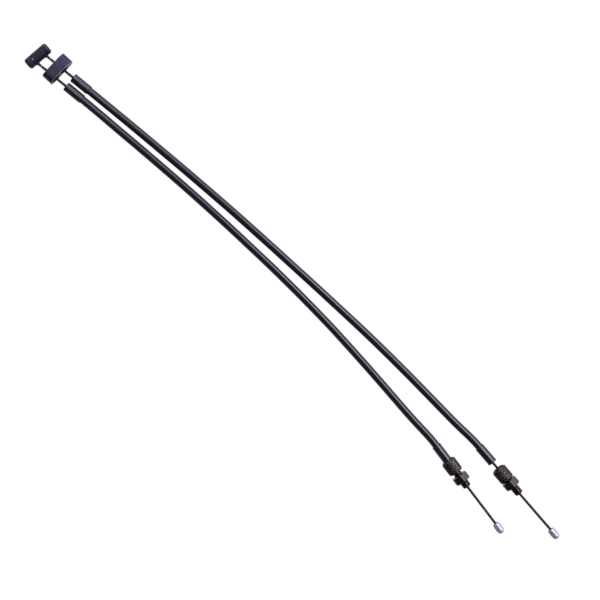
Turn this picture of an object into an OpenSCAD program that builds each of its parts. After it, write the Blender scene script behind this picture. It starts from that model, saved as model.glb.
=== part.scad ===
// Twin control cable: two sheathed cables that share one cross-bar at the lever end and have a
// barrel adjuster, a lock nut and a cast nipple each at the other end. X runs from the cross-bar
// to the nipples, Z is up, and the origin lies under the middle of the cable on the surface.

/* [Housing] */
// Outer diameter of the polymer jacket
jacket_d = 5.2; // [5:0.1:5.3]
// Outer diameter of the flat-wound steel core under the jacket
core_d = 4.1; // [3.9:0.1:4.1]
// Outer diameter of the plastic liner inside the steel core
liner_d = 2.7; // [2.6:0.1:2.7]
// Inner diameter of the plastic liner
liner_bore_d = 2.1; // [2.0:0.1:2.2]
// Diameter of the stranded inner wire
wire_d = 1.8; // [1.5:0.1:1.8]

/* [Ferrules] */
// Outer diameter of the ferrules on the housing ends
ferrule_d = 6.2; // [6:0.1:6.3]
// Length of a ferrule
ferrule_length = 13.5; // [12:0.5:15]
// Thickness of the ferrule's closed end
ferrule_end = 1.2; // [0.8:0.1:1.6]
// Diameter of the wire hole in the closed end
ferrule_hole_d = 2.4; // [2.2:0.1:2.6]

/* [Cross-bar] */
// Diameter of the cross-bar
bar_d = 7.7; // [7:0.1:8]
// Length of the cross-bar
bar_length = 18.2; // [17:0.2:20]
// Angle by which the cross-bar hangs skewed to the wires
bar_skew = 10; // [0:1:12]
// Distance between the two inner wires at the cross-bar
wire_spacing = 7.4; // [7.4:0.1:7.8]

/* [Housing stop] */
// Length of the housing stop across the wires
stop_length = 20.4; // [19:0.2:22]
// Height of the housing stop, which lies on this flat side
stop_height = 8.4; // [8.2:0.1:9]
// Thickness of the housing stop along the wires
stop_thickness = 7.8; // [7.4:0.1:9]
// Angle by which the housing stop sits skewed to the wires
stop_skew = 4; // [0:1:4]
// Diameter of the sockets that take the upper ferrules
stop_socket_d = 6.8; // [6.8:0.1:7]
// Depth of the sockets
stop_socket_depth = 4.5; // [4:0.1:5]

/* [Barrel adjuster] */
// Diameter of the adjuster's knurled head
head_d = 10; // [9.6:0.1:10]
// Length of the knurled head
head_length = 10; // [9:0.5:11]
// Major diameter of the threaded stem
stem_d = 6; // [5.8:0.1:6]
// Length of the threaded stem beyond the head
stem_length = 12; // [11:0.5:14]
// Diameter of the socket in the head for the lower ferrule
head_socket_d = 6.6; // [6.6:0.1:6.8]
// Depth of that socket
head_socket_depth = 4.5; // [4:0.1:5]

/* [Lock nut] */
// Distance across the lock nut's flats
nut_flats = 10; // [9:0.5:10]
// Thickness of the lock nut
nut_thickness = 5; // [4:0.5:5]
// Radial clearance between the nut's bore and the stem
nut_clearance = 0.05; // [0.02:0.01:0.08]
// Angle by which the nut's top corner leans over to the +Y side
nut_turn = 5; // [0:5:30]

/* [Nipple] */
// Largest diameter of the cast nipple
nipple_d = 5; // [4.5:0.1:5.5]
// Length of the nipple
nipple_length = 7.4; // [7:0.1:8]

/* [Hidden] */

$fn = 64;
ROUND_SIDES = 10;    // sides of a swept housing tube
WIRE_SIDES = 8;      // sides of the swept inner wire
eps = 0.01;          // overshoot of a cut

// Heights of the straight ends above the surface the cable lies on
upper_z = 4.2;
lower_z = 5;

// Cross-bar, housing stop and the closed faces of the upper ferrules
bar_x = -230.85;
stop_x = -215.5;
upper_face_x = -203.7;
long_y = 23.8;
short_y = long_y - wire_spacing;
bar_y = (long_y + short_y) / 2;
stop_y = 21.7;       // the block reaches further past the long cable's wire than past the other

// Closed faces of the lower ferrules and the headings of the straight lower ends
long_face = [171.1, 1.95, lower_z];
long_heading = -10;
short_face = [148.2, -16.1, lower_z];
short_heading = -13.5;

// Where the adjusters, their nuts and the nipples sit along those straight ends, measured from
// the ferrule's closed face
long_head_start = 5.1;
short_head_start = -1.3;
long_nut_gap = 0.7;
short_nut_gap = 2.5;
long_free_wire = 31.1;
short_free_wire = 30.5;

// Lengths of wire that stay hidden in the housing, bar and nipple
upper_wire_depth = 14.5;
lower_wire_depth = 4.5;
wire_in_bar = 1;
wire_in_nipple = 5;
straight_end = 17.5;   // straight stretch behind a lower ferrule's closed face

fit_gap = 0.05;      // clearance between a ferrule and the housing in it
cast_gap = 0.02;     // clearance round a wire that is cast into a fitting

wire_r = wire_d / 2;
jacket_bore_d = core_d + 0.1;
core_bore_d = liner_d + 0.1;
ferrule_bore_r = jacket_d / 2 + fit_gap;
ferrule_lip_r = ferrule_d / 2 + 0.1;

// Routes of the housings' centrelines between the straight ends
long_run = [
    [-161, 23.7, 4.1], [-146, 23.6, 3.7], [-131, 23.4, 3.2], [-116, 23.2, 2.8],
    [-101, 22.9, 2.6], [-86, 22.5, 2.6], [-71, 22.05, 2.6], [-56, 21.45, 2.6],
    [-41, 20.75, 2.6], [-26, 20, 2.6], [-11, 19.15, 2.6], [4, 18.35, 2.6], [19, 17.45, 2.6],
    [34, 16.5, 2.6], [49, 15.5, 2.6], [64, 14.3, 2.7], [79, 12.9, 3], [94, 11.35, 3.5],
    [109, 9.65, 4.1], [124, 7.9, 4.6], [139, 6.3, 4.9]
];
short_run = [
    [-161, 15.95, 4.1], [-146, 15.7, 3.7], [-131, 15.4, 3.2], [-116, 15, 2.8],
    [-101, 14.5, 2.6], [-86, 13.85, 2.6], [-71, 13.05, 2.6], [-56, 12.15, 2.6],
    [-41, 11.1, 2.6], [-26, 10, 2.6], [-11, 8.7, 2.6], [4, 7.2, 2.6], [19, 5.5, 2.6],
    [34, 3.6, 2.6], [49, 1.35, 2.7], [64, -1, 3.1], [79, -3.5, 3.7], [94, -6.1, 4.3],
    [109, -8.7, 4.8], [120, -10.3, 4.9]
];

function heading_dir(angle) = [cos(angle), sin(angle), 0];

// Straight upper end, inside the ferrule and a little past it
function upper_points(y) = [
    for (x = [upper_face_x + ferrule_end + fit_gap, -194, -185]) [x, y, upper_z]
];
// Straight lower end, up to the inside of the ferrule's closed end
function lower_points(face, angle) = [
    for (back = [straight_end, straight_end / 2, ferrule_end + fit_gap])
        face - back * heading_dir(angle)
];

long_route = concat(upper_points(long_y), long_run, lower_points(long_face, long_heading));
short_route = concat(upper_points(short_y), short_run, lower_points(short_face, short_heading));

// The wire's hidden run starts and ends where the two sliding ends leave it
function hidden_run(route) = [for (i = [2 : len(route) - 3]) route[i]];

function unit(v) = v / norm(v);
function tangent(route, i) =
    unit(route[min(i + 1, len(route) - 1)] - route[max(i - 1, 0)]);
function side_of(t) = unit(cross([0, 0, 1], t));
function ring(centre, t, r, sides) = let (side = side_of(t), up = cross(t, side)) [
    for (k = [0 : sides - 1])
        let (a = 90 + k * 360 / sides) centre + r * (cos(a) * side + sin(a) * up)
];
function rings(route, r, sides) = [
    for (i = [0 : len(route) - 1]) each ring(route[i], tangent(route, i), r, sides)
];
// Quads between ring i and ring i + 1; flipped turns them over for a bore
function wall(sides, from, count, flipped) = [
    for (i = [0 : count - 2], k = [0 : sides - 1])
        let (
            n = (k + 1) % sides,
            a = from + i * sides + k, b = from + i * sides + n,
            c = from + (i + 1) * sides + n, d = from + (i + 1) * sides + k
        )
        each flipped ? [[a, b, c], [a, c, d]] : [[a, c, b], [a, d, c]]
];
// Ring-shaped end face between an outer ring and an inner ring of points
function annulus(sides, outer, inner, flipped) = [
    for (k = [0 : sides - 1])
        let (n = (k + 1) % sides)
        each flipped
            ? [[outer + k, inner + n, outer + n], [outer + k, inner + k, inner + n]]
            : [[outer + k, outer + n, inner + n], [outer + k, inner + n, inner + k]]
];

// Hollow tube swept along a route
module swept_tube(route, outer_d, bore_d, sides) {
    count = len(route);
    last = (count - 1) * sides;
    inner = count * sides;
    polyhedron(
        points = concat(rings(route, outer_d / 2, sides), rings(route, bore_d / 2, sides)),
        faces = concat(
            wall(sides, 0, count, false),
            wall(sides, inner, count, true),
            annulus(sides, 0, inner, false),
            annulus(sides, last, inner + last, true)
        ),
        convexity = 10
    );
}

// Solid rod swept along a route
module swept_rod(route, d, sides) {
    count = len(route);
    last = (count - 1) * sides;
    polyhedron(
        points = rings(route, d / 2, sides),
        faces = concat(
            wall(sides, 0, count, false),
            [[for (k = [0 : sides - 1]) k]],
            [[for (k = [0 : sides - 1]) last + sides - 1 - k]]
        ),
        convexity = 10
    );
}

// Lays a shape that is built along +Z so that it points along a heading from a point
module laid(point, angle) {
    translate(point) rotate([0, 0, angle]) rotate([0, 90, 0]) children();
}

// Rounded bar profile: x is the radius, y runs along the axis from -length / 2
module rounded_bar_profile(r, length, edge) {
    translate([0, -length / 2]) square([r - edge, length]);
    translate([0, edge - length / 2]) square([r, length - 2 * edge]);
    for (end = [-1, 1])
        translate([r - edge, end * (length / 2 - edge)]) circle(edge);
}

module cross_bar() {
    edge = 1.6;
    gate_r = 0.9;
    gate_height = 0.15;
    gate_offset = -4.5;
    color("#2b2931") difference() {
        translate([bar_x, bar_y, upper_z]) rotate([0, 0, -bar_skew]) {
            rotate([90, 0, 0]) rotate_extrude() rounded_bar_profile(bar_d / 2, bar_length, edge);
            translate([0, gate_offset, 0]) cylinder(r = gate_r, h = bar_d / 2 + gate_height);
        }
        for (y = [long_y, short_y])
            translate([bar_x - wire_in_bar - cast_gap, y, upper_z]) rotate([0, 90, 0])
                cylinder(r = wire_r + cast_gap, h = bar_d);
    }
}

// Rectangle with its four corners cut off
function bevelled_outline(w, h, bevel) = [
    [w / 2, bevel - h / 2], [w / 2, h / 2 - bevel], [w / 2 - bevel, h / 2],
    [bevel - w / 2, h / 2], [-w / 2, h / 2 - bevel], [-w / 2, bevel - h / 2],
    [bevel - w / 2, -h / 2], [w / 2 - bevel, -h / 2]
];

// Middle of the block, with its long edges bevelled
module block_middle(width, height, thickness, bevel) {
    translate([0, width / 2, 0]) rotate([90, 0, 0]) linear_extrude(width)
        polygon(bevelled_outline(thickness, height, bevel));
}

// Half-round end of the block, on the +Y side of its own origin
module block_end(height, thickness, bevel) {
    r = height / 2;
    rotate([0, 90, 0]) rotate_extrude(angle = 180) polygon([
        [0, -thickness / 2], [r - bevel, -thickness / 2], [r, bevel - thickness / 2],
        [r, thickness / 2 - bevel], [r - bevel, thickness / 2], [0, thickness / 2]
    ]);
}

module housing_stop() {
    bevel = 0.4;
    flat_length = stop_length - stop_height;
    wire_hole_d = 2.8;
    socket_mid = (stop_thickness - stop_socket_depth) / 2;
    color("#35323d") translate([stop_x, stop_y, upper_z]) rotate([0, 0, -stop_skew])
        difference() {
            union() {
                block_middle(flat_length, stop_height, stop_thickness, bevel);
                for (end = [0, 1]) mirror([0, end, 0])
                    translate([0, flat_length / 2, 0])
                        block_end(stop_height, stop_thickness, bevel);
            }
            for (y = [long_y, short_y]) {
                // where the skewed socket's axis crosses the wire, half way down the socket
                across = (y - stop_y) / cos(stop_skew) + socket_mid * tan(stop_skew);
                translate([-stop_thickness, across, 0]) rotate([0, 90, 0])
                    cylinder(d = wire_hole_d, h = 2 * stop_thickness);
                translate([stop_thickness / 2 - stop_socket_depth, across, 0])
                    rotate([0, 90, 0]) cylinder(d = stop_socket_d, h = stop_thickness);
            }
        }
}

// End cap along +Z with its closed face at z = 0 and its mouth at z = -ferrule_length
module ferrule() {
    lip = 0.8;
    edge = 0.25;
    r = ferrule_d / 2;
    hole_r = ferrule_hole_d / 2;
    rotate_extrude() polygon([
        [hole_r + edge, 0], [ferrule_lip_r - edge, 0], [ferrule_lip_r, -edge],
        [ferrule_lip_r, -lip], [r, -lip - edge], [r, edge - ferrule_length],
        [r - edge, -ferrule_length], [ferrule_bore_r, -ferrule_length],
        [ferrule_bore_r, -ferrule_end], [hole_r, -ferrule_end], [hole_r, -edge]
    ]);
}

// Barrel adjuster along +Z: the head's open face is at z = 0 and the stem's tip is at the top
module adjuster() {
    head_r = head_d / 2;
    stem_r = stem_d / 2;
    socket_r = head_socket_d / 2;
    bore_r = 1.3;
    top_bevel = 1.2;
    lower_bevel = 0.7;
    neck_r = 2.5;
    neck_length = 0.7;
    tip_bevel = 0.8;
    length = head_length + stem_length;
    rotate_extrude() polygon([
        [socket_r + 0.3, 0], [head_r - top_bevel, 0], [head_r, top_bevel],
        [head_r, head_length - lower_bevel], [head_r - lower_bevel, head_length],
        [neck_r, head_length], [neck_r, head_length + neck_length],
        [stem_r, head_length + neck_length + stem_r - neck_r],
        [stem_r, length - tip_bevel], [stem_r - tip_bevel, length], [bore_r + 0.3, length],
        [bore_r, length - 0.3], [bore_r, head_socket_depth + socket_r - bore_r],
        [socket_r, head_socket_depth], [socket_r, 0.3]
    ]);
}

// Hexagon nut along +Z with its corners bevelled on both faces
module lock_nut() {
    corner_r = nut_flats / 2 / cos(30);
    bevel = 0.45;
    bore_r = stem_d / 2 + nut_clearance;
    difference() {
        intersection() {
            rotate(-nut_turn) cylinder(r = corner_r, h = nut_thickness, $fn = 6);
            rotate_extrude() polygon([
                [0, 0], [nut_flats / 2, 0], [corner_r, bevel],
                [corner_r, nut_thickness - bevel], [nut_flats / 2, nut_thickness],
                [0, nut_thickness]
            ]);
        }
        translate([0, 0, -eps]) cylinder(r = bore_r, h = nut_thickness + 2 * eps);
    }
}

// Arc of an ellipse between two angles, as outline points
function ellipse_arc(centre, rx, ry, from, to, steps) = [
    for (i = [0 : steps])
        let (a = from + (to - from) * i / steps) centre + [rx * cos(a), ry * sin(a)]
];

// Cast barrel nipple along +Z: the wire enters at z = 0
module nipple() {
    r = nipple_d / 2;
    wire_end_r = 1.8;
    free_end_r = 1;
    shoulder = 2.2;
    crown = 2.4;
    difference() {
        rotate_extrude() polygon(concat(
            [[0, 0]],
            ellipse_arc([wire_end_r, shoulder], r - wire_end_r, shoulder, -90, 0, 4),
            ellipse_arc([free_end_r, nipple_length - crown], r - free_end_r, crown, 0, 90, 6),
            [[0, nipple_length]]
        ));
        translate([0, 0, -eps])
            cylinder(r = wire_r + cast_gap, h = wire_in_nipple + cast_gap + eps);
    }
}

module upper_wire(y) {
    start_x = bar_x - wire_in_bar;
    color("#1d1b20") laid([start_x, y, upper_z], 0)
        cylinder(r = wire_r, h = upper_face_x + upper_wire_depth - start_x);
}

module lower_wire(face, angle, nipple_start) {
    color("#1d1b20") laid(face, angle) translate([0, 0, -lower_wire_depth])
        cylinder(r = wire_r, h = lower_wire_depth + nipple_start + wire_in_nipple);
}

module jacket(route) { color("#17161b") swept_tube(route, jacket_d, jacket_bore_d, ROUND_SIDES); }
module spring_core(route) { color("#8b8d92") swept_tube(route, core_d, core_bore_d, ROUND_SIDES); }
module liner(route) { color("#e8e6df") swept_tube(route, liner_d, liner_bore_d, ROUND_SIDES); }
module core_wire(route) { color("#1d1b20") swept_rod(hidden_run(route), wire_d, WIRE_SIDES); }
module upper_ferrule(y) { color("#1c1a20") laid([upper_face_x, y, upper_z], 180) ferrule(); }
module lower_ferrule(face, angle) { color("#1c1a20") laid(face, angle) ferrule(); }
module placed_adjuster(face, angle, start) {
    color("#4a3f42") laid(face, angle) translate([0, 0, start]) adjuster();
}
module placed_nut(face, angle, start) {
    color("#5a4f53") laid(face, angle) translate([0, 0, start]) lock_nut();
}
module placed_nipple(face, angle, start) {
    color("#c9c6d4") laid(face, angle) translate([0, 0, start]) nipple();
}

// The cable on the +Y side, with its adjuster pulled out of the ferrule
module long_jacket() { jacket(long_route); }
module long_spring_core() { spring_core(long_route); }
module long_liner() { liner(long_route); }
module long_core_wire() { core_wire(long_route); }
module long_upper_wire() { upper_wire(long_y); }
module long_upper_ferrule() { upper_ferrule(long_y); }
module long_lower_ferrule() { lower_ferrule(long_face, long_heading); }

long_stem_end = long_head_start + head_length + stem_length;
long_nipple_start = long_stem_end + long_free_wire;
module long_lower_wire() { lower_wire(long_face, long_heading, long_nipple_start); }
long_nut_start = long_head_start + head_length + long_nut_gap;
module long_adjuster() { placed_adjuster(long_face, long_heading, long_head_start); }
module long_lock_nut() { placed_nut(long_face, long_heading, long_nut_start); }
module long_nipple() { placed_nipple(long_face, long_heading, long_nipple_start); }

// The cable on the -Y side, with its adjuster seated on the ferrule
module short_jacket() { jacket(short_route); }
module short_spring_core() { spring_core(short_route); }
module short_liner() { liner(short_route); }
module short_core_wire() { core_wire(short_route); }
module short_upper_wire() { upper_wire(short_y); }
module short_upper_ferrule() { upper_ferrule(short_y); }
module short_lower_ferrule() { lower_ferrule(short_face, short_heading); }

short_stem_end = short_head_start + head_length + stem_length;
short_nipple_start = short_stem_end + short_free_wire;
module short_lower_wire() { lower_wire(short_face, short_heading, short_nipple_start); }
short_nut_start = short_head_start + head_length + short_nut_gap;
module short_adjuster() { placed_adjuster(short_face, short_heading, short_head_start); }
module short_lock_nut() { placed_nut(short_face, short_heading, short_nut_start); }
module short_nipple() { placed_nipple(short_face, short_heading, short_nipple_start); }

cross_bar();
housing_stop();
long_jacket();
long_spring_core();
long_liner();
long_core_wire();
long_upper_wire();
long_lower_wire();
long_upper_ferrule();
long_lower_ferrule();
long_adjuster();
long_lock_nut();
long_nipple();
short_jacket();
short_spring_core();
short_liner();
short_core_wire();
short_upper_wire();
short_lower_wire();
short_upper_ferrule();
short_lower_ferrule();
short_adjuster();
short_lock_nut();
short_nipple();
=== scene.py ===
"""Looks of the twin control cable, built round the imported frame. All lengths are in metres."""

import math

import bmesh
import bpy
import numpy as np
from mathutils import Matrix, Vector


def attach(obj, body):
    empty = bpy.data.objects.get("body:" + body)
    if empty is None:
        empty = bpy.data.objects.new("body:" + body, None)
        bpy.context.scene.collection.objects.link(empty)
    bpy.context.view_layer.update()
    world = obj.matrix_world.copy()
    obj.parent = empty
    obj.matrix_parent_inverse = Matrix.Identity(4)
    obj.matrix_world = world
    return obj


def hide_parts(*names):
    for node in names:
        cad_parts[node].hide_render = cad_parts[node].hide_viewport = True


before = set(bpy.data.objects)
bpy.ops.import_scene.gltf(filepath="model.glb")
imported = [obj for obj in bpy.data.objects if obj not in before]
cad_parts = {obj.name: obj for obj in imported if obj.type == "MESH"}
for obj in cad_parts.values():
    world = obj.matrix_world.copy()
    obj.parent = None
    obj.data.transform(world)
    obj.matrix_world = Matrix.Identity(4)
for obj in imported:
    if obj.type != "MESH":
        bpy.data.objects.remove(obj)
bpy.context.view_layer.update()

MM = 0.001
TAU = 2 * math.pi

# ---------------------------------------------------------------- sizes of the cable

JACKET_D = 5.2 * MM
JACKET_BORE_R = 2.1 * MM
WIRE_R = 0.9 * MM
FERRULE_R = 3.1 * MM
FERRULE_LIP_R = 3.2 * MM
FERRULE_LENGTH = 13.5 * MM
FERRULE_END = 1.2 * MM
FERRULE_BORE_R = 2.65 * MM
FERRULE_HOLE_R = 1.2 * MM
FIT_GAP = 0.05 * MM

BAR_AT = Vector((-0.23085, 0.0201, 0.0042))
BAR_R = 3.85 * MM
BAR_LENGTH = 18.2 * MM
BAR_SKEW = math.radians(-10)
GATE_MARK_OFFSET = -4.5 * MM
COLLAR_INSET = 0.2 * MM
TINNED_SPOT_OFFSET = 2.2 * MM

STOP_AT = Vector((-0.2155, 0.0217, 0.0042))
STOP_SKEW = math.radians(-4)
STOP_LENGTH = 20.4 * MM
STOP_HEIGHT = 8.4 * MM
STOP_THICKNESS = 7.8 * MM
STOP_SOCKET_R = 3.4 * MM
STOP_SOCKET_DEPTH = 4.5 * MM
STOP_HOLE_R = 1.4 * MM
STOP_EDGE = 0.32 * MM

HEAD_R = 5 * MM
HEAD_LENGTH = 10 * MM
HEAD_SOCKET_R = 3.3 * MM
HEAD_SOCKET_DEPTH = 4.5 * MM
STEM_R = 3 * MM
STEM_LENGTH = 12 * MM
STEM_BORE_R = 1.3 * MM
NECK_R = 2.5 * MM
NECK_LENGTH = 0.7 * MM
THREAD_PITCH = 1 * MM
THREAD_DEPTH = 0.5 * MM
THREAD_ROOT = 0.14     # half width of the flat root, in half pitches
THREAD_FLANK = 0.66    # width of the sloping flank, in half pitches

NUT_FLATS = 10 * MM
NUT_THICKNESS = 5 * MM
NUT_BORE_R = 3.05 * MM
NUT_TURN = math.radians(5)

NIPPLE_R = 2.5 * MM
NIPPLE_LENGTH = 7.4 * MM

UPPER_Z = 4.2 * MM
UPPER_FACE_X = -0.2037
UPPER_STRAIGHT_X = (-0.194, -0.185)
LOWER_STRAIGHT = 17.5 * MM
ROUTE_STEP = 1.5 * MM
UPPER_WIRE_DEPTH = 14.5 * MM
LOWER_WIRE_DEPTH = 4.5 * MM
WIRE_IN_BAR = 1 * MM
WIRE_IN_NIPPLE = 5 * MM

# Each cable: its row of the twin end, the lower ferrule's face and heading, where its adjuster, nut
# and nipple start along the straight lower end, and the route of its housing between the ferrules.
CABLES = {
    "long": {
        "y": 0.0238, "face": (0.1711, 0.00195, 0.005), "heading": -10,
        "head": 5.1 * MM, "nut": 15.8 * MM, "nipple": 58.2 * MM,
        "run": [
            (-0.161, 0.0237, 0.0041), (-0.146, 0.0236, 0.0037), (-0.131, 0.0234, 0.0032),
            (-0.116, 0.0232, 0.0028), (-0.101, 0.0229, 0.0026), (-0.086, 0.0225, 0.0026),
            (-0.071, 0.02205, 0.0026), (-0.056, 0.02145, 0.0026), (-0.041, 0.02075, 0.0026),
            (-0.026, 0.020, 0.0026), (-0.011, 0.01915, 0.0026), (0.004, 0.01835, 0.0026),
            (0.019, 0.01745, 0.0026), (0.034, 0.0165, 0.0026), (0.049, 0.0155, 0.0026),
            (0.064, 0.0143, 0.0027), (0.079, 0.0129, 0.003), (0.094, 0.01135, 0.0035),
            (0.109, 0.00965, 0.0041), (0.124, 0.0079, 0.0046), (0.139, 0.0063, 0.0049),
        ],
    },
    "short": {
        "y": 0.0164, "face": (0.1482, -0.0161, 0.005), "heading": -13.5,
        "head": -1.3 * MM, "nut": 11.2 * MM, "nipple": 51.2 * MM,
        "run": [
            (-0.161, 0.01595, 0.0041), (-0.146, 0.0157, 0.0037), (-0.131, 0.0154, 0.0032),
            (-0.116, 0.015, 0.0028), (-0.101, 0.0145, 0.0026), (-0.086, 0.01385, 0.0026),
            (-0.071, 0.01305, 0.0026), (-0.056, 0.01215, 0.0026), (-0.041, 0.0111, 0.0026),
            (-0.026, 0.010, 0.0026), (-0.011, 0.0087, 0.0026), (0.004, 0.0072, 0.0026),
            (0.019, 0.0055, 0.0026), (0.034, 0.0036, 0.0026), (0.049, 0.00135, 0.0027),
            (0.064, -0.001, 0.0031), (0.079, -0.0035, 0.0037), (0.094, -0.0061, 0.0043),
            (0.109, -0.0087, 0.0048), (0.120, -0.0103, 0.0049),
        ],
    },
}

# ---------------------------------------------------------------- camera

CAMERA_HEIGHT = 1.0
CAMERA_OVER = (0.0049, 0.0047)
CAMERA_ROLL = math.radians(39.2)
FRAME_WIDTH = 0.396

camera_data = bpy.data.cameras.new("camera")
camera = bpy.data.objects.new("camera", camera_data)
bpy.context.scene.collection.objects.link(camera)
camera.location = (*CAMERA_OVER, CAMERA_HEIGHT)
camera.rotation_euler = (0, 0, CAMERA_ROLL)
camera_data.sensor_width = 36
camera_data.lens = 36 * (CAMERA_HEIGHT - UPPER_Z) / FRAME_WIDTH
bpy.context.scene.camera = camera


# ---------------------------------------------------------------- mesh helpers

def unit(v):
    return v / np.linalg.norm(v)


def spline(points, step):
    """Evenly spaced points on the natural cubic spline through the given ones."""
    p = np.array(points, float)
    t = np.concatenate([[0], np.cumsum(np.linalg.norm(np.diff(p, axis=0), axis=1))])
    h = np.diff(t)
    n = len(p)
    system = np.eye(n)
    right = np.zeros((n, 3))
    for i in range(1, n - 1):
        system[i, i - 1:i + 2] = h[i - 1], 2 * (h[i - 1] + h[i]), h[i]
        right[i] = 6 * ((p[i + 1] - p[i]) / h[i] - (p[i] - p[i - 1]) / h[i - 1])
    m = np.linalg.solve(system, right)
    at = np.linspace(0, t[-1], int(t[-1] / step) + 1)
    i = np.clip(np.searchsorted(t, at, side="right") - 1, 0, n - 2)
    a = ((t[i + 1] - at) / h[i])[:, None]
    b = 1 - a
    curve = (a ** 3 - a) * m[i] + (b ** 3 - b) * m[i + 1]
    return a * p[i] + b * p[i + 1] + curve * (h[i] ** 2)[:, None] / 6


def rounded(corners):
    """Outline with its corners filleted: each corner is (x, y) or (x, y, radius)."""
    steps = 4
    share = 0.49    # of each side, so that the fillets at its two ends never meet
    out = []
    for i, corner in enumerate(corners):
        p = np.array(corner[:2], float)
        radius = corner[2] if len(corner) > 2 else 0
        if radius == 0 or i in (0, len(corners) - 1):
            out.append(p)
            continue
        before = np.array(corners[i - 1][:2], float) - p
        after = np.array(corners[i + 1][:2], float) - p
        a, b = unit(before), unit(after)
        half = math.acos(np.clip(a @ b, -1, 1)) / 2
        reach = min(radius / math.tan(half), share * np.linalg.norm(before),
                    share * np.linalg.norm(after))
        centre = p + unit(a + b) * reach / math.cos(half)
        start, end = p + a * reach - centre, p + b * reach - centre
        sweep = math.acos(np.clip(unit(start) @ unit(end), -1, 1))
        for k in range(steps + 1):
            f = k / steps
            blended = math.sin((1 - f) * sweep) * start + math.sin(f * sweep) * end
            out.append(centre + blended / math.sin(sweep))
    return out


def divided(outline, step):
    """The outline with points added, so that none are further apart than step."""
    out = [np.array(outline[0], float)]
    for a, b in zip(outline, outline[1:]):
        count = max(1, math.ceil(np.linalg.norm(np.subtract(b, a)) / step))
        for k in range(1, count + 1):
            out.append(np.array(a) + (np.array(b) - np.array(a)) * k / count)
    return out


def grid_mesh(name, rows, closed_rows=False, relief=None):
    """Mesh over a grid of points: each row is a closed ring, and UVs are (around, along)."""
    rows = np.array(rows, float)
    count, sides = rows.shape[:2]
    around, along = np.meshgrid(np.arange(sides), np.arange(count if closed_rows else count - 1))
    right, up = (around + 1) % sides, (along + 1) % count
    faces = np.stack([along * sides + around, along * sides + right,
                      up * sides + right, up * sides + around], axis=-1).reshape(-1, 4)
    mesh = bpy.data.meshes.new(name)
    mesh.from_pydata(rows.reshape(-1, 3).tolist(), [], faces.tolist())
    steps = np.linalg.norm(np.diff(rows[:, 0], axis=0), axis=1)
    lengths = np.concatenate([[0], np.cumsum(steps)])
    corner_u = np.stack([around, around + 1, around + 1, around], axis=-1).reshape(-1) / sides
    v_low, v_high = lengths[along], lengths[np.minimum(along + 1, count - 1)]
    corner_v = np.stack([v_low, v_low, v_high, v_high], axis=-1).reshape(-1)
    layer = mesh.uv_layers.new(name="around_along")
    uv = np.stack([corner_u, corner_v], axis=-1).reshape(-1)
    layer.data.foreach_set("uv", uv.astype(np.float32))
    if relief is not None:
        attribute = mesh.attributes.new("relief", "FLOAT", "POINT")
        attribute.data.foreach_set("value", np.array(relief, np.float32).reshape(-1))
    return mesh


def cleaned(mesh, sharp_angle=35):
    """Welds poles and seams, points the faces outwards and shades the mesh smooth."""
    work = bmesh.new()
    work.from_mesh(mesh)
    bmesh.ops.remove_doubles(work, verts=work.verts, dist=1e-6)
    bmesh.ops.dissolve_degenerate(work, edges=work.edges, dist=1e-7)
    bmesh.ops.recalc_face_normals(work, faces=work.faces)
    work.to_mesh(mesh)
    work.free()
    mesh.shade_smooth()
    mesh.set_sharp_from_angle(angle=math.radians(sharp_angle))
    return mesh


def lathe(name, outline, sides, shape=None, sharp_angle=35):
    """Turns an outline of (radius, z) round Z. shape(theta, r, z) gives (radius, relief) there."""
    theta = np.arange(sides) * TAU / sides
    rows, relief = [], []
    for r, z in outline:
        plain = np.full(sides, r), np.zeros(sides)
        radius, mark = plain if shape is None else shape(theta, r, z)
        rows.append(np.stack([radius * np.cos(theta), radius * np.sin(theta),
                              np.full(sides, z)], axis=-1))
        relief.append(mark)
    closed = np.allclose(outline[0], outline[-1])
    if closed:
        rows, relief = rows[:-1], relief[:-1]
    return cleaned(grid_mesh(name, rows, closed, relief), sharp_angle)


def sweep(path, radius, sides):
    """Rings of points round a path."""
    path = np.array(path, float)
    tangents = np.gradient(path, axis=0)
    tangents /= np.linalg.norm(tangents, axis=1)[:, None]
    side = np.cross([0, 0, 1], tangents)
    side /= np.linalg.norm(side, axis=1)[:, None]
    up = np.cross(tangents, side)
    angles = np.arange(sides) * TAU / sides
    return path[:, None] + radius * (np.cos(angles)[None, :, None] * side[:, None]
                                     + np.sin(angles)[None, :, None] * up[:, None])


def laid(point, heading):
    """Placement that points local +Z along a heading on the floor, from a point."""
    turn = Matrix.Rotation(math.radians(heading), 4, "Z") @ Matrix.Rotation(math.pi / 2, 4, "Y")
    return Matrix.Translation(point) @ turn


def piece(name, mesh, placement, body, material, replaced=()):
    """Adds a mesh to the scene as a piece that rides on a body."""
    mesh.transform(placement)
    mesh.materials.append(material)
    made = bpy.data.objects.new(name, mesh)
    bpy.context.scene.collection.objects.link(made)
    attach(made, body)
    if replaced:
        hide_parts(*replaced)
    return made


# ---------------------------------------------------------------- materials

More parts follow.
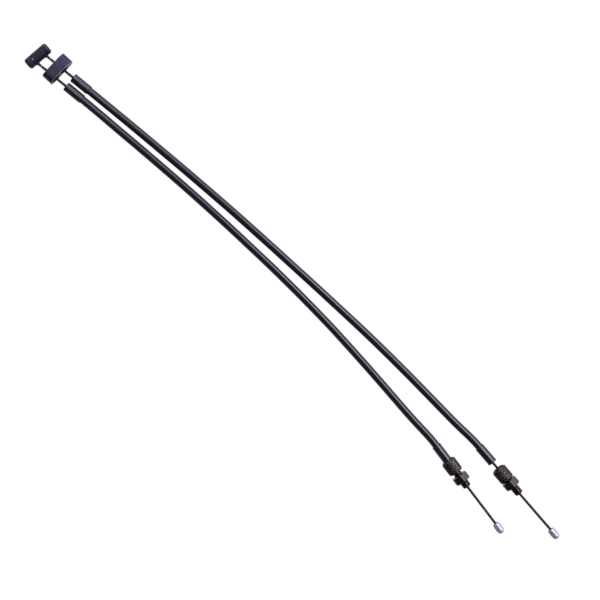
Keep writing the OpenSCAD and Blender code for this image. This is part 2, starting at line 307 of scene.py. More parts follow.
class Surface:
    """A Principled material with short calls for the nodes that drive it.

    Texture scales are per metre: a noise of 1000 has grains about 1 mm across.
    """

    def __init__(self, name, color, metallic=0.0, roughness=0.4, **sockets):
        self.material = bpy.data.materials.new(name)
        self.material.use_nodes = True
        self.tree = self.material.node_tree
        self.shader = self.tree.nodes["Principled BSDF"]
        self.shader.inputs["Base Color"].default_value = (*color, 1)
        self.shader.inputs["Metallic"].default_value = metallic
        self.shader.inputs["Roughness"].default_value = roughness
        for socket, value in sockets.items():
            self.shader.inputs[socket.replace("_", " ")].default_value = value
        self.material.diffuse_color = (*color, 1)

    def node(self, kind, inputs=None, **settings):
        made = self.tree.nodes.new("ShaderNode" + kind)
        for key, value in settings.items():
            setattr(made, key, value)
        for socket, value in (inputs or {}).items():
            self.feed(made.inputs[socket], value)
        return made

    def feed(self, socket, value):
        if isinstance(value, bpy.types.NodeSocket):
            self.tree.links.new(value, socket)
        else:
            socket.default_value = value

    def drive(self, socket, value):
        self.feed(self.shader.inputs[socket], value)

    def place(self, stretch=(1, 1, 1), turn=0.0, source="Object"):
        coords = self.node("TexCoord").outputs[source]
        mapping = self.node("Mapping", {"Vector": coords, "Scale": stretch,
                                        "Rotation": (0, 0, turn)})
        return mapping.outputs["Vector"]

    def noise(self, scale, detail=3.0, rough=0.55, where=None):
        made = self.node("TexNoise", {"Vector": where or self.place(), "Scale": scale,
                                      "Detail": detail, "Roughness": rough})
        return made.outputs["Fac"]

    def spots(self, scale):
        made = self.node("TexVoronoi", {"Vector": self.place(), "Scale": scale})
        return made.outputs["Distance"]

    def span(self, value, low, high, to_low=0.0, to_high=1.0):
        made = self.node("MapRange", {"Value": value, "From Min": low, "From Max": high,
                                      "To Min": to_low, "To Max": to_high})
        return made.outputs["Result"]

    def math(self, operation, a, b):
        return self.node("Math", {0: a, 1: b}, operation=operation).outputs[0]

    def mix(self, factor, a, b):
        made = self.node("Mix", data_type="RGBA")
        self.feed(made.inputs["Factor"], factor)
        for socket, value in ((made.inputs[6], a), (made.inputs[7], b)):
            self.feed(socket, value if isinstance(value, bpy.types.NodeSocket) else (*value, 1))
        return made.outputs[2]

    def edges(self, low, high):
        """1 on convex edges and 0 elsewhere."""
        return self.span(self.node("NewGeometry").outputs["Pointiness"], low, high)

    def rims(self, radius):
        """1 on the edges of a mesh with large flat faces and 0 elsewhere."""
        soft = self.node("Bevel", {"Radius": radius}, samples=6).outputs["Normal"]
        true = self.node("NewGeometry").outputs["Normal"]
        match = self.node("VectorMath", {0: soft, 1: true}, operation="DOT_PRODUCT")
        return self.span(match.outputs["Value"], 0.99, 0.93)

    def relief(self, low=0.0, high=1.0):
        return self.span(self.node("Attribute", attribute_name="relief").outputs["Fac"], low, high)

    def bump(self, *layers):
        """Stacks bump layers, each (height, distance)."""
        normal = None
        for height, distance in layers:
            inputs = {"Height": height, "Distance": distance, "Strength": 1.0}
            if normal is not None:
                inputs["Normal"] = normal
            normal = self.node("Bump", inputs).outputs["Normal"]
        self.drive("Normal", normal)


def jacket_material():
    """Extruded black polymer: fine orange peel, die lines along the cable and faint scuffs."""
    black, scuffed = (0.007, 0.006, 0.009), (0.035, 0.032, 0.045)
    s = Surface("jacket_polymer", black, roughness=0.18, IOR=1.55)
    die_lines = s.noise(1.0, 2, where=s.place((60, 12, 1), source="UV"))
    peel = s.noise(1900, 2)
    scuffs = s.span(s.noise(1.0, 5, 0.7, where=s.place((90, 900, 900))), 0.58, 0.78)
    cloud = s.noise(120, 2)
    s.drive("Base Color", s.mix(s.math("MULTIPLY", scuffs, 0.4), black, scuffed))
    base = s.span(cloud, 0.3, 0.7, 0.13, 0.21)
    s.drive("Roughness", s.math("ADD", base, s.math("MULTIPLY", scuffs, 0.15)))
    s.bump((die_lines, 0.012 * MM), (peel, 0.007 * MM))
    return s.material


def ferrule_material():
    """Black-plated brass cap with a slightly rubbed lip."""
    black, rubbed = (0.006, 0.0052, 0.008), (0.08, 0.075, 0.09)
    s = Surface("ferrule_black", black, roughness=0.25, IOR=1.65)
    worn = s.math("MULTIPLY", s.edges(0.53, 0.62), s.span(s.noise(900, 3), 0.4, 0.6))
    s.drive("Base Color", s.mix(worn, black, rubbed))
    s.drive("Roughness", s.span(s.noise(700, 4, 0.7), 0.3, 0.7, 0.16, 0.3))
    s.bump((s.noise(2600, 3), 0.012 * MM), (s.noise(420, 2), 0.05 * MM))
    return s.material


def bar_material():
    """Satin black casting: grainy, with rubbed edges and a painted glint of bare metal on the gate
    mark.
    """
    s = Surface("bar_black", (0.010, 0.009, 0.015), roughness=0.42,
                Specular_Tint=(0.86, 0.80, 1.0, 1))
    worn = s.math("MULTIPLY", s.edges(0.52, 0.60), s.span(s.noise(800, 4, 0.7), 0.38, 0.62))
    darkest, palest = (0.005, 0.0045, 0.007), (0.014, 0.012, 0.019)
    rubbed, bare_metal = (0.12, 0.105, 0.12), (0.70, 0.58, 0.56)
    tint = s.mix(worn, s.mix(s.noise(260, 4), darkest, palest), rubbed)
    # The gate mark's bare metal faces the key light: chipped finish placed as a painted glint.
    bare_glint = s.relief()
    s.drive("Base Color", s.mix(bare_glint, tint, bare_metal))
    s.drive("Metallic", bare_glint)
    s.drive("Roughness", s.span(s.noise(600, 4, 0.7), 0.3, 0.7, 0.34, 0.54))
    s.bump((s.noise(420, 3), 0.06 * MM), (s.noise(2400, 4), 0.03 * MM))
    return s.material


def stop_material():
    """Satin black block: fine cast grain, milled marks and silvery rubbed rims."""
    s = Surface("stop_black", (0.010, 0.009, 0.016), roughness=0.3,
                Specular_Tint=(0.84, 0.78, 1.0, 1))
    worn = s.math("MULTIPLY", s.rims(0.35 * MM), s.span(s.noise(1100, 4, 0.7), 0.3, 0.55))
    marks = s.noise(1.0, 2, where=s.place((500, 5200, 500), turn=math.radians(40)))
    darkest, palest, bare_metal = (0.006, 0.0052, 0.010), (0.014, 0.0125, 0.024), (0.42, 0.38, 0.46)
    s.drive("Base Color", s.mix(worn, s.mix(s.noise(350, 4), darkest, palest), bare_metal))
    s.drive("Metallic", s.span(worn, 0, 1, 0.0, 0.9))
    s.drive("Roughness", s.span(marks, 0.3, 0.7, 0.22, 0.36))
    s.bump((marks, 0.008 * MM), (s.noise(1500, 4), 0.02 * MM))
    return s.material


def wire_material():
    """Dark steel strands, darker in the grooves between them, with a few rubbed bright spots."""
    s = Surface("wire_steel", (0.05, 0.04, 0.06), metallic=1.0, roughness=0.36)
    crown = s.relief(0.35, 1.0)
    rubbed = s.span(s.noise(900, 3), 0.52, 0.7)
    groove_dark, steel, bright = (0.004, 0.003, 0.005), (0.062, 0.046, 0.075), (0.16, 0.13, 0.18)
    # The colour darkens from each strand's crown into the grooves between strands.
    tone = s.mix(crown, groove_dark, steel)
    s.drive("Base Color", s.mix(s.math("MULTIPLY", rubbed, crown), tone, bright))
    s.drive("Roughness", s.span(s.noise(2500, 3), 0.3, 0.7, 0.3, 0.5))
    filaments = s.node("TexWave", {"Vector": s.place((4, 900, 1), turn=0.5, source="UV"),
                                   "Scale": 1.0}).outputs["Fac"]
    s.bump((filaments, 0.02 * MM))
    return s.material


def solder_material():
    """Tinned spots where the wire's black finish has come off."""
    s = Surface("wire_solder", (0.3, 0.28, 0.29), metallic=1.0, roughness=0.35)
    s.drive("Base Color", s.mix(s.noise(1500, 3), (0.10, 0.09, 0.10), (0.40, 0.37, 0.38)))
    s.drive("Roughness", s.span(s.noise(1800, 3), 0.3, 0.7, 0.25, 0.5))
    s.bump((s.noise(1800, 3), 0.05 * MM))
    return s.material


def gunmetal_material(name, darkest, palest, shade_in_cuts):
    """Dark bronze-toned plating: painted shade in the cuts, rubbed bright on the crowns."""
    rubbed = (0.52, 0.43, 0.39)
    s = Surface(name, palest, metallic=1.0, roughness=0.3)
    cut = s.relief()
    worn = s.math("MULTIPLY", s.edges(0.52, 0.60), s.span(s.noise(1400, 3), 0.35, 0.6))
    # Deeper cuts darken towards the cut colour: painted shade in the knurl grooves and thread
    # roots.
    tone = s.mix(cut, s.mix(s.noise(380, 4, 0.65), darkest, palest), shade_in_cuts)
    s.drive("Base Color", s.mix(worn, tone, rubbed))
    s.drive("Roughness", s.math("ADD", s.span(s.noise(1200, 4), 0.3, 0.7, 0.16, 0.32),
                                s.math("MULTIPLY", cut, 0.2)))
    s.bump((s.noise(2200, 3), 0.03 * MM))
    return s.material


def nipple_material():
    """Cast zinc: bright satin with a fine pitted skin."""
    s = Surface("nipple_zinc", (0.42, 0.405, 0.47), metallic=0.6, roughness=0.4)
    pits = s.span(s.spots(1500), 0.0, 0.35)
    stain = s.span(s.noise(500, 4, 0.65), 0.42, 0.7)
    s.drive("Base Color", s.mix(stain, (0.48, 0.465, 0.53), (0.32, 0.305, 0.37)))
    s.drive("Roughness", s.span(s.noise(900, 4), 0.3, 0.7, 0.32, 0.48))
    s.bump((pits, 0.025 * MM), (s.noise(700, 3), 0.1 * MM))
    return s.material


def core_material():
    """Bright flat wire of the spring core, wound across the cable."""
    s = Surface("core_steel", (0.45, 0.46, 0.48), metallic=1.0, roughness=0.3)
    turns = s.node("TexWave", {"Vector": s.place((1, 0, 0)), "Scale": 200.0}).outputs["Fac"]
    s.drive("Base Color", s.mix(turns, (0.18, 0.18, 0.19), (0.5, 0.51, 0.53)))
    s.drive("Roughness", s.span(s.noise(900), 0.3, 0.7, 0.25, 0.45))
    s.bump((turns, 0.15 * MM))
    return s.material


def liner_material():
    """Natural low-friction plastic with a milky mottle."""
    s = Surface("liner_plastic", (0.82, 0.80, 0.74), roughness=0.5)
    s.drive("Base Color", s.mix(s.noise(500), (0.74, 0.72, 0.66), (0.86, 0.84, 0.78)))
    s.drive("Roughness", s.span(s.noise(700), 0.3, 0.7, 0.4, 0.6))
    return s.material


MATERIALS = {
    "jacket": jacket_material(), "ferrule": ferrule_material(), "bar": bar_material(),
    "stop": stop_material(), "wire": wire_material(), "solder": solder_material(),
    # The last colour of each gunmetal is the painted shade in its cuts.
    "adjuster": gunmetal_material("adjuster_gunmetal", (0.034, 0.028, 0.027),
                                  (0.108, 0.088, 0.082), (0.005, 0.004, 0.004)),
    "nut": gunmetal_material("nut_gunmetal", (0.038, 0.033, 0.032), (0.115, 0.098, 0.095),
                             (0.012, 0.010, 0.010)),
    "nipple": nipple_material(), "core": core_material(), "liner": liner_material(),
}


# ---------------------------------------------------------------- housings, which are free cords

def route_of(cable):
    """The housing's centreline points, with the straight stretches inside both ferrules."""
    inset = FERRULE_END + FIT_GAP
    heading = math.radians(cable["heading"])
    ahead = Vector((math.cos(heading), math.sin(heading), 0))
    upper = [(x, cable["y"], UPPER_Z) for x in (UPPER_FACE_X + inset, *UPPER_STRAIGHT_X)]
    lower = [tuple(Vector(cable["face"]) - ahead * back)
             for back in (LOWER_STRAIGHT, LOWER_STRAIGHT / 2, inset)]
    return upper + cable["run"] + lower


def jacket_mesh(name, path):
    """Jacket with its bore: the rows run along the outside and back through the bore."""
    sides = 40
    outside = sweep(path, JACKET_D / 2, sides)
    inside = sweep(path, JACKET_BORE_R, sides)
    return cleaned(grid_mesh(name, np.concatenate([outside, inside[::-1]]), closed_rows=True))


def make_jacket(side, cable):
    path = spline(route_of(cable), ROUTE_STEP)
    made = piece(f"{side}_jacket_skin", jacket_mesh(f"{side}_jacket_skin", path), Matrix(),
                 "housings", MATERIALS["jacket"], [f"{side}_jacket"])
    return made, path


jackets = {side: make_jacket(side, cable) for side, cable in CABLES.items()}


# ---------------------------------------------------------------- ferrules

def ferrule_mesh(name):
    """End cap with its closed face at z = 0 and its mouth at z = -FERRULE_LENGTH."""
    edge = 0.15 * MM
    lip = 0.8 * MM
    outline = rounded([
        (FERRULE_HOLE_R, -FERRULE_END), (FERRULE_HOLE_R, 0, 0.25 * MM),
        (FERRULE_LIP_R, 0, 0.3 * MM), (FERRULE_LIP_R, -lip, edge),
        (FERRULE_R, -lip - 0.25 * MM, edge), (FERRULE_R, -FERRULE_LENGTH, 0.2 * MM),
        (FERRULE_BORE_R, -FERRULE_LENGTH, 0.1 * MM), (FERRULE_BORE_R, -FERRULE_END),
        (FERRULE_HOLE_R, -FERRULE_END),
    ])
    return lathe(name, divided(outline, 0.8 * MM), sides=72)


def make_ferrules(side, cable):
    upper = piece(f"{side}_upper_cap", ferrule_mesh(f"{side}_upper_cap"),
                  laid((UPPER_FACE_X, cable["y"], UPPER_Z), 180), "housings",
                  MATERIALS["ferrule"], [f"{side}_upper_ferrule"])
    lower = piece(f"{side}_lower_cap", ferrule_mesh(f"{side}_lower_cap"),
                  laid(cable["face"], cable["heading"]), f"{side}_lower_ferrule",
                  MATERIALS["ferrule"], [f"{side}_lower_ferrule"])
    return upper, lower


ferrules = {side: make_ferrules(side, cable) for side, cable in CABLES.items()}


# ---------------------------------------------------------------- wires

STRANDS = 6
STRAND_R = 0.3 * MM
STRAND_LAY = 8.4 * MM
STRAND_SIDES = 10
STRAND_STEP = 0.2 * MM


def strand_mesh(name, z, r, start):
    """One strand wound at radius r from the angle start, with relief 1 along its outer crown."""
    angles = np.arange(STRAND_SIDES) * TAU / STRAND_SIDES
    turn = start + z * TAU / STRAND_LAY
    centre = np.stack([r * np.cos(turn), r * np.sin(turn), z], axis=-1)
    out = np.stack([np.cos(turn), np.sin(turn), np.zeros_like(z)], axis=-1)
    tangent = np.stack([-np.sin(turn) * r * TAU / STRAND_LAY,
                        np.cos(turn) * r * TAU / STRAND_LAY, np.ones_like(z)], axis=-1)
    tangent /= np.linalg.norm(tangent, axis=1)[:, None]
    across = np.cross(tangent, out)
    rows = centre[:, None] + STRAND_R * (np.cos(angles)[None, :, None] * out[:, None]
                                         + np.sin(angles)[None, :, None] * across[:, None])
    crown = np.tile(np.clip(np.cos(angles), 0, 1) ** 0.6, (len(z), 1))
    return grid_mesh(name, rows, relief=crown)


def stranded_wire(name, length, phase):
    """Seven strands along +Z from z = 0: six laid round a straight one."""
    z = np.linspace(0, length, int(length / STRAND_STEP) + 1)
    parts = bmesh.new()
    for k in range(STRANDS + 1):
        r = WIRE_R - STRAND_R if k < STRANDS else 0.0
        strand = strand_mesh(name, z, r, phase + k * TAU / STRANDS)
        parts.from_mesh(strand)
        bpy.data.meshes.remove(strand)
    ends = [edge for edge in parts.edges if edge.is_boundary]
    bmesh.ops.holes_fill(parts, edges=ends, sides=STRAND_SIDES)
    bmesh.ops.recalc_face_normals(parts, faces=parts.faces)
    mesh = bpy.data.meshes.new(name)
    parts.to_mesh(mesh)
    parts.free()
    mesh.shade_smooth()
    mesh.set_sharp_from_angle(angle=math.radians(60))
    return mesh


def make_wires(side, cable, phase):
    upper_start = BAR_AT.x - WIRE_IN_BAR
    upper_length = UPPER_FACE_X + UPPER_WIRE_DEPTH - upper_start
    piece(f"{side}_upper_strands", stranded_wire(f"{side}_upper_strands", upper_length, phase),
          laid((upper_start, cable["y"], UPPER_Z), 0), "cross_bar",
          MATERIALS["wire"], [f"{side}_upper_wire"])
    lower_length = LOWER_WIRE_DEPTH + cable["nipple"] + WIRE_IN_NIPPLE
    place = laid(cable["face"], cable["heading"]) @ Matrix.Translation((0, 0, -LOWER_WIRE_DEPTH))
    piece(f"{side}_lower_strands", stranded_wire(f"{side}_lower_strands", lower_length, phase + 1),
          place, f"{side}_nipple", MATERIALS["wire"], [f"{side}_lower_wire"])


# ---------------------------------------------------------------- cross-bar and housing stop

def bar_mesh(name):
    """Cast bar along Z with rounded ends."""
    half = BAR_LENGTH / 2
    edge = 1.6 * MM
    outline = rounded([(0, -half), (BAR_R, -half, edge), (BAR_R, half, edge), (0, half)])
    return lathe(name, divided(outline, 0.4 * MM), sides=96)


def gate_mark_mesh(name):
    """Low round pip left where the casting was fed."""
    rim = 0.9 * MM
    top = BAR_R + 0.15 * MM
    outline = rounded([(rim * 1.15, BAR_R - 0.3 * MM), (rim, top, 0.12 * MM),
                       (rim * 0.45, top - 0.02 * MM, 0.1 * MM), (0, top - 0.12 * MM)])

    def rubbed(theta, r, z):
        """Bare metal on the side of the pip's rim facing the key light: chipped finish and painted
        glint.
        """
        glint_at, glint_width = 1.2, 0.6
        bare_glint = 0.8 * np.exp(-((theta - glint_at) / glint_width) ** 2) * (0.3 * MM < r < 1.1 * rim)
        return np.full_like(theta, r), bare_glint

    return lathe(name, outline, sides=32, shape=rubbed)


def fillet_mesh(name):
    """Flared collar of metal where a wire enters a casting, along +Z from z = 0."""
    length = 1.3 * MM
    flare = 0.75 * MM
    inner_r = WIRE_R * 0.6
    flared = [(WIRE_R + flare * (1 - f) ** 2.2, f * length) for f in np.linspace(0, 1, 9)]
    return lathe(name, flared + [(inner_r, length), (inner_r, 0), flared[0]], sides=32)


def tinned_spot_mesh(name):
    """Thin skin of solder round a wire, along +Z from z = 0."""
    length = 1.4 * MM
    taper = 0.3 * MM
    edge = 0.2 * MM
    inner_r = WIRE_R * 0.8
    outer_r = WIRE_R + 0.04 * MM
    outline = rounded([(inner_r, 0), (outer_r, taper, edge), (outer_r, length - taper, edge),
                       (inner_r, length), (inner_r, 0)])
    return lathe(name, divided(outline, 0.1 * MM), sides=24)


def make_cross_bar():
    skew = Matrix.Translation(BAR_AT) @ Matrix.Rotation(BAR_SKEW, 4, "Z")
    piece("cross_bar_casting", bar_mesh("cross_bar_casting"),
          skew @ Matrix.Rotation(math.pi / 2, 4, "X"), "cross_bar",
          MATERIALS["bar"], ["cross_bar"])
    piece("cross_bar_gate_mark", gate_mark_mesh("cross_bar_gate_mark"),
          skew @ Matrix.Translation((0, GATE_MARK_OFFSET, 0)), "cross_bar",
          MATERIALS["bar"])
    for side, cable in CABLES.items():
        offset = cable["y"] - BAR_AT.y
        surface_x = BAR_AT.x + BAR_R / math.cos(BAR_SKEW) - offset * math.tan(BAR_SKEW)
        piece(f"{side}_bar_collar", fillet_mesh(f"{side}_bar_collar"),
              laid((surface_x - COLLAR_INSET, cable["y"], UPPER_Z), 0), "cross_bar",
              MATERIALS["bar"])
        piece(f"{side}_tinned_spot", tinned_spot_mesh(f"{side}_tinned_spot"),
              laid((surface_x + TINNED_SPOT_OFFSET, cable["y"], UPPER_Z), 0), "cross_bar",
              MATERIALS["solder"])


def drum(radius, x_from, x_to, y):
    """Cylinder along X, as a cutter."""
    length = x_to - x_from
    mesh = lathe("cutter", [(0, 0), (radius, 0), (radius, length), (0, length)], sides=64)
    mesh.transform(laid((x_from, y, 0), 0))
    made = bpy.data.objects.new("cutter", mesh)
    bpy.context.scene.collection.objects.link(made)
    return made


def evaluated_mesh(made):
    """The object's mesh with its modifiers applied; the object goes."""
    graph = bpy.context.evaluated_depsgraph_get()
    mesh = bpy.data.meshes.new_from_object(made.evaluated_get(graph), depsgraph=graph)
    bpy.data.objects.remove(made)
    return mesh


def stop_blank(name):
    """Round-ended block across the wires, still solid."""
    flat = (STOP_LENGTH - STOP_HEIGHT) / 2
    r = STOP_HEIGHT / 2
    arc_steps = 28
    outline = []
    for end, turn in ((flat, 0), (-flat, math.pi)):
        for k in range(arc_steps + 1):
            a = turn - math.pi / 2 + math.pi * k / arc_steps
            outline.append((end + r * math.cos(a), r * math.sin(a)))
    work = bmesh.new()
    face = work.faces.new([work.verts.new((-STOP_THICKNESS / 2, y, z)) for y, z in outline])
    grown = bmesh.ops.extrude_face_region(work, geom=[face])["geom"]
    bmesh.ops.translate(work, vec=(STOP_THICKNESS, 0, 0),
                        verts=[g for g in grown if isinstance(g, bmesh.types.BMVert)])
    bmesh.ops.recalc_face_normals(work, faces=work.faces)
    mesh = bpy.data.meshes.new(name)
    work.to_mesh(mesh)
    work.free()
    block = bpy.data.objects.new(name, mesh)
    bpy.context.scene.collection.objects.link(block)
    return block


def stop_cutters():
    """Drums for a wire hole and a ferrule socket on each cable."""
    front = STOP_THICKNESS / 2
    floor = front - STOP_SOCKET_DEPTH
    cutters = []
    for cable in CABLES.values():
        across = ((cable["y"] - STOP_AT.y) / math.cos(STOP_SKEW)
                  - (floor + front) / 2 * math.tan(STOP_SKEW))
        cutters.append(drum(STOP_HOLE_R, -2 * front, 2 * front, across))
        cutters.append(drum(STOP_SOCKET_R, floor, 2 * front, across))
    return cutters


def stop_mesh(name):
    """The block with its wire holes, ferrule sockets and bevelled edges."""
    block = stop_blank(name)
    cutters = stop_cutters()
    for cutter in cutters:
        cut = block.modifiers.new("cut", "BOOLEAN")
        cut.object = cutter
        cut.operation = "DIFFERENCE"
        cut.solver = "EXACT"
    bevel = block.modifiers.new("edges", "BEVEL")
    bevel.width = STOP_EDGE
    bevel.segments = 4
    bevel.limit_method = "ANGLE"
    bevel.angle_limit = math.radians(40)
    made = evaluated_mesh(block)
    for cutter in cutters:
        bpy.data.objects.remove(cutter)
    made.shade_smooth()
    made.set_sharp_from_angle(angle=math.radians(40))
    return made


def make_stop():
    place = Matrix.Translation(STOP_AT) @ Matrix.Rotation(STOP_SKEW, 4, "Z")
    piece("housing_stop_block", stop_mesh("housing_stop_block"), place, "housing_stop",
          MATERIALS["stop"], ["housing_stop"])


# ---------------------------------------------------------------- adjusters, nuts and nipples

KNURL_STARTS = 22
KNURL_PITCH = 1.6 * MM
KNURL_DEPTH = 0.2 * MM
KNURL_GROOVE = 0.5    # share of a diamond's width that its grooves take up


def ridge(x):
    """0 on whole numbers, 1 half way between them."""
    return 1 - np.abs(2 * (x - np.floor(x)) - 1)


def knurl(theta, z):
    """How deep the diamond knurl is cut, from 0 on a crown to 1 in a groove."""
    a = KNURL_STARTS * theta / TAU
    lowest = np.minimum(ridge(a + z / KNURL_PITCH), ridge(a - z / KNURL_PITCH))
    return 1 - np.clip(lowest / KNURL_GROOVE, 0, 1)


def thread(theta, z):
    """How deep the metric thread is cut, from 0 on the crest to 1 at the root."""
    phase = z / THREAD_PITCH - theta / TAU
    distance = np.abs(2 * (phase - np.floor(phase)) - 1)
    return 1 - np.clip((distance - THREAD_ROOT) / THREAD_FLANK, 0, 1)


def fade(z, low, high, width):
    """1 between low and high, falling to 0 over width at both ends."""
    return np.clip(min(z - low, high - z) / width, 0, 1)


def adjuster_mesh(name):
    """Barrel adjuster: knurled head from z = 0, threaded stem, and a bore right through."""
    length = HEAD_LENGTH + STEM_LENGTH
    head_bevel, lower_bevel, tip_bevel = 1.2 * MM, 0.7 * MM, 0.8 * MM
    neck_end = HEAD_LENGTH + NECK_LENGTH
    outer = rounded([
        (HEAD_SOCKET_R, 0, 0.2 * MM), (HEAD_R - head_bevel, 0, 0.3 * MM),
        (HEAD_R, head_bevel, 0.6 * MM), (HEAD_R, HEAD_LENGTH - lower_bevel, 0.4 * MM),
        (HEAD_R - lower_bevel, HEAD_LENGTH, 0.2 * MM), (NECK_R, HEAD_LENGTH, 0.15 * MM),
        (NECK_R, neck_end, 0.1 * MM), (STEM_R, neck_end + STEM_R - NECK_R, 0.05 * MM),
        (STEM_R, length - tip_bevel, 0.1 * MM), (STEM_R - tip_bevel, length, 0.1 * MM),
        (STEM_BORE_R, length, 0.1 * MM),
    ])
    inner = rounded([
        (STEM_BORE_R, length), (STEM_BORE_R, HEAD_SOCKET_DEPTH + HEAD_SOCKET_R - STEM_BORE_R,
                                0.1 * MM),
        (HEAD_SOCKET_R, HEAD_SOCKET_DEPTH, 0.1 * MM), (HEAD_SOCKET_R, 0),
    ])
    outline = divided(outer, 0.075 * MM) + divided(inner, 0.8 * MM)[1:]
    knurl_from, knurl_to, knurl_fade = 0.5 * MM, HEAD_LENGTH - 0.3 * MM, 0.7 * MM
    thread_from, thread_to, thread_fade = neck_end + 0.3 * MM, length + 0.4 * MM, 0.4 * MM
    knurl_inner_r, thread_inner_r = STEM_R + 0.4 * MM, 2.0 * MM

    def shape(theta, r, z):
        """The knurl on the head's outside and the thread on the stem's; smooth elsewhere."""
        # The cut depths also go out as relief, which the material paints as shade in the grooves.
        if r > knurl_inner_r:
            cut = knurl(theta, z) * fade(z, knurl_from, knurl_to, knurl_fade)
            return r - KNURL_DEPTH * cut, cut
        if r > thread_inner_r and z > thread_from:
            cut = thread(theta, z) * fade(z, thread_from, thread_to, thread_fade)
            return np.minimum(r, STEM_R - THREAD_DEPTH * cut), 0.8 * cut
        return np.full_like(theta, r), np.zeros_like(theta)

    return lathe(name, outline, sides=KNURL_STARTS * 12, shape=shape, sharp_angle=50)


def nut_mesh(name):
    """Hexagon nut from z = 0: rounded corners, bevelled faces and a threaded bore."""
    flat = NUT_FLATS / 2
    corner = flat / math.cos(math.pi / 6)
    corner_trim = 0.12 * MM
    bevel = 0.45 * MM
    bevel_start = flat - 0.1 * MM
    lead = 0.4 * MM
    mouth_r = NUT_BORE_R + lead
    blank_r = flat + 0.9 * MM
    outline = divided([(mouth_r, 0), (blank_r, 0), (blank_r, NUT_THICKNESS),
                       (mouth_r, NUT_THICKNESS)], 0.12 * MM)
    bore = divided([(mouth_r, NUT_THICKNESS), (NUT_BORE_R, NUT_THICKNESS - lead),
                    (NUT_BORE_R, lead), (mouth_r, 0)], 0.1 * MM)

    def shape(theta, r, z):
        """Painted shade of thread grooves in the bore; outside, the round blank cut to a bevelled
        hexagon.
        """
        if r <= mouth_r:
            return np.full_like(theta, r), 0.5 * thread(theta, z)
        off_flat = (theta + NUT_TURN) % (TAU / 6) - math.pi / 6
        hexagon = np.minimum(flat / np.cos(off_flat), corner - corner_trim)
        cone = bevel_start + min(z, NUT_THICKNESS - z) * (corner - flat) / bevel
        return np.minimum(r, np.minimum(hexagon, cone)), np.zeros_like(theta)

    return lathe(name, outline + bore[1:], sides=180, shape=shape, sharp_angle=24)


def nipple_mesh(name):
    """Cast barrel nipple from z = 0: tapered where the wire enters, crowned at the free end."""
    wire_end_r, free_end_r = 1.8 * MM, 1.0 * MM
    shoulder, crown = 2.2 * MM, 2.4 * MM
    outline = [(WIRE_R * 0.9, 1.2 * MM), (WIRE_R * 1.2, 0.25 * MM), (1.3 * MM, 0.02 * MM)]
    for a in np.linspace(-90, 0, 14):
        outline.append((wire_end_r + (NIPPLE_R - wire_end_r) * math.cos(math.radians(a)),
                        shoulder + shoulder * math.sin(math.radians(a))))
    for a in np.linspace(0, 90, 18):
        outline.append((free_end_r + (NIPPLE_R - free_end_r) * math.cos(math.radians(a)),
                        NIPPLE_LENGTH - crown + crown * math.sin(math.radians(a))))
    outline += [(0.75 * MM, NIPPLE_LENGTH), (0.55 * MM, NIPPLE_LENGTH - 0.12 * MM),
                (0, NIPPLE_LENGTH - 0.15 * MM)]

    def shape(theta, r, z):
        """Slightly lumpy casting, with a fine raised flash line down both sides of the mould."""
        out = min(1.0, r / NIPPLE_R)
        flash_at, flash_width = 0.6, 0.05
        flash = np.exp(-(np.sin(theta - flash_at) / flash_width) ** 2) * out ** 4
        lumps = 0.02 * MM * np.sin(2 * theta + 1.7) * np.sin(z / MM * 1.3)
        shrink = 0.03 * MM * out
        radius = np.maximum(r + lumps * (r / NIPPLE_R) - shrink * (1 - flash), 0)
        return radius, np.zeros_like(theta)

    return lathe(name, divided(outline, 0.3 * MM), sides=96, shape=shape)


def make_lower_end(side, cable):
    place = laid(cable["face"], cable["heading"])
    piece(f"{side}_adjuster_barrel", adjuster_mesh(f"{side}_adjuster_barrel"),
          place @ Matrix.Translation((0, 0, cable["head"])), f"{side}_adjuster",
          MATERIALS["adjuster"], [f"{side}_adjuster"])
    piece(f"{side}_hex_nut", nut_mesh(f"{side}_hex_nut"),
          place @ Matrix.Translation((0, 0, cable["nut"])), f"{side}_lock_nut",
          MATERIALS["nut"], [f"{side}_lock_nut"])
    piece(f"{side}_cast_nipple", nipple_mesh(f"{side}_cast_nipple"),
          place @ Matrix.Translation((0, 0, cable["nipple"])), f"{side}_nipple",
          MATERIALS["nipple"], [f"{side}_nipple"])


def dress_inside(side):
    """Gives the solids inside the housing their materials."""
    for node, material in (("spring_core", "core"), ("liner", "liner"), ("core_wire", "wire")):
        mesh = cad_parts[f"{side}_{node}"].data
        mesh.materials.clear()
        mesh.materials.append(MATERIALS[material])


make_cross_bar()
make_stop()
for number, (side, cable) in enumerate(CABLES.items()):
    make_wires(side, cable, phase=0.7 * number)
    make_lower_end(side, cable)
    dress_inside(side)


# ---------------------------------------------------------------- floor and light

FLOOR_HALF = 4.0
FLOOR_GLOW = 0.65     # brightness as the object's surfaces see it
FLOOR_WHITE = 1.0     # brightness as the camera sees it

# Bearings and elevations are in degrees, bearings from +X towards +Y. Places on the wall of light
# run from 0 overhead to 1 on the horizon: where it starts, is full, starts to dim and is dimmest.
WALL_BEARING = 97
WALL_FROM = 0.26
WALL_FULL = WALL_FROM + 0.16
WALL_DIMS_FROM = 0.70
WALL_FOOT_AT = 0.86
WALL_TOP = (0.80, 0.74, 0.98)
WALL_FOOT = (0.48, 0.445, 0.59)
DARK_SIDE = (0.035, 0.032, 0.042)
WALL_STRENGTH = 3.0


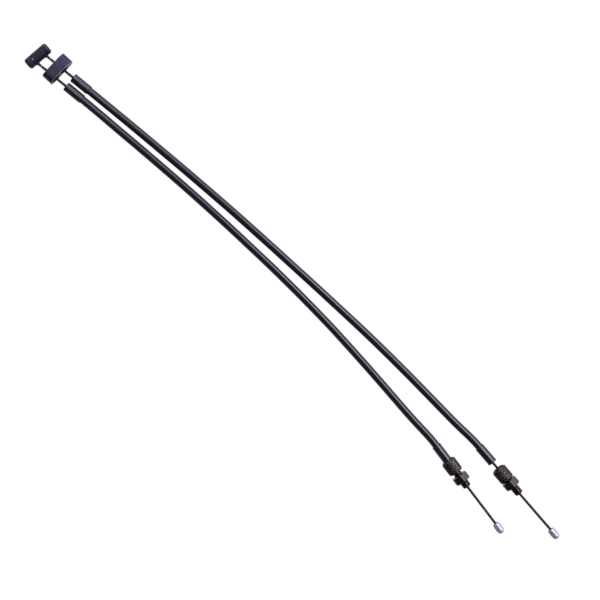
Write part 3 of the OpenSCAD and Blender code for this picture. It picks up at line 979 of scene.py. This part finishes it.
def floor_material():
    """White paper to the camera; dim and lilac to other rays, so it doesn't fill the shadows."""
    s = Surface("floor_white", (0.9, 0.9, 0.9), roughness=0.7, Specular_IOR_Level=0.0)
    seen = s.node("LightPath").outputs["Is Camera Ray"]
    s.drive("Base Color", s.mix(s.noise(3), (0.010, 0.010, 0.010), (0.016, 0.016, 0.016)))
    s.drive("Emission Color", s.mix(seen, (0.90, 0.86, 1.0), (1, 1, 1)))
    s.drive("Emission Strength", s.span(seen, 0, 1, FLOOR_GLOW, FLOOR_WHITE))
    return s.material


def make_floor():
    mesh = bpy.data.meshes.new("floor")
    corners = [(x * FLOOR_HALF, y * FLOOR_HALF, 0) for x, y in ((-1, -1), (1, -1), (1, 1), (-1, 1))]
    mesh.from_pydata(corners, [], [(0, 1, 2, 3)])
    mesh.materials.append(floor_material())
    made = bpy.data.objects.new("floor", mesh)
    bpy.context.scene.collection.objects.link(made)


def softbox(name, bearing, elevation, distance, size, power, color, aim=(0, 0, 0)):
    """Rectangular soft light at a bearing, elevation and distance from the point it is aimed at."""
    a, e = math.radians(bearing), math.radians(elevation)
    data = bpy.data.lights.new(name, "AREA")
    data.shape = "RECTANGLE"
    data.size, data.size_y = size
    data.energy = power
    data.color = color
    made = bpy.data.objects.new(name, data)
    bpy.context.scene.collection.objects.link(made)
    out = Vector((math.cos(a) * math.cos(e), math.sin(a) * math.cos(e), math.sin(e)))
    made.location = Vector(aim) + out * distance
    made.rotation_euler = (-out).to_track_quat("-Z", "Y").to_euler()


def make_world():
    """Dark studio with a broad lilac wall of light on the +Y side, dimmer towards its foot."""
    world = bpy.data.worlds.new("studio")
    world.use_nodes = True
    tree = world.node_tree
    a = math.radians(WALL_BEARING)
    towards = tree.nodes.new("ShaderNodeVectorMath")
    towards.operation = "DOT_PRODUCT"
    towards.inputs[1].default_value = (math.cos(a), math.sin(a), 0)
    coords = tree.nodes.new("ShaderNodeTexCoord")
    ramp = tree.nodes.new("ShaderNodeValToRGB")
    tree.links.new(coords.outputs["Generated"], towards.inputs[0])
    tree.links.new(towards.outputs["Value"], ramp.inputs["Fac"])
    stops = ramp.color_ramp.elements
    stops[0].position, stops[0].color = WALL_FROM, (*DARK_SIDE, 1)
    stops[1].position, stops[1].color = WALL_FULL, (*WALL_TOP, 1)
    for position, color in ((WALL_DIMS_FROM, WALL_TOP), (WALL_FOOT_AT, WALL_FOOT)):
        stops.new(position).color = (*color, 1)
    background = tree.nodes["Background"]
    tree.links.new(ramp.outputs["Color"], background.inputs["Color"])
    background.inputs["Strength"].default_value = WALL_STRENGTH
    bpy.context.scene.world = world


make_floor()
softbox("key", bearing=58, elevation=54, distance=1.1, size=(0.95, 0.28), power=5.5,
        color=(1.0, 0.95, 1.0))
softbox("overhead", bearing=150, elevation=76, distance=1.2, size=(0.36, 0.18), power=1.15,
        color=(0.80, 0.73, 1.0), aim=STOP_AT)
make_world()
bpy.context.scene.view_settings.view_transform = "Standard"
